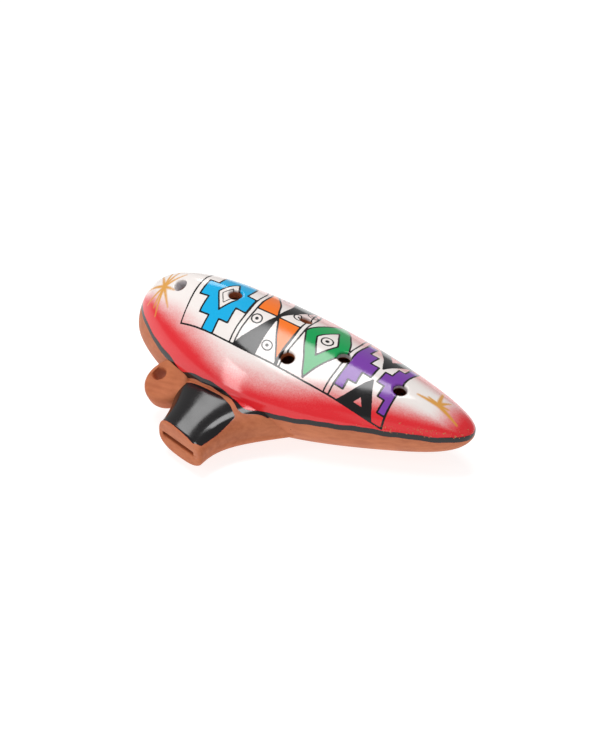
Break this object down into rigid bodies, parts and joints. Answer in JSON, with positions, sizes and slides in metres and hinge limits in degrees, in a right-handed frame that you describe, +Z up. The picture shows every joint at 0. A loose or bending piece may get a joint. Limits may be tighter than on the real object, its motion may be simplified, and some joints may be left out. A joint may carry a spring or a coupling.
{
  "type": "ocarina",
  "caption": "Transverse clay ocarina: egg-shaped body with a long tail, side mouthpiece with windway, pierced cord ear, finger holes on top, painted upper half over bare clay.",
  "frame": {"origin": "centre of the bounding box in plan, on the ground plane that the belly's flat rests on", "axes": "+X from the head to the tail, -Y towards the player's lips, +Z up through the finger holes"},
  "size_m": [0.15, 0.0894, 0.05],
  "materials": {
    "painted_clay": "gloss varnish over hand-painted decoration",
    "bare_clay": "burnished unglazed terracotta, matt",
    "black_gloss": "gloss black paint over clay"
  },
  "bodies": {
    "root": {"upper_shell": "painted_clay", "lower_shell": "bare_clay", "seam_coil": "bare_clay", "mouthpiece_roof": "black_gloss", "mouthpiece_floor": "bare_clay", "labium": "bare_clay", "cord_ear": "bare_clay"}
  },
  "joints": []
}
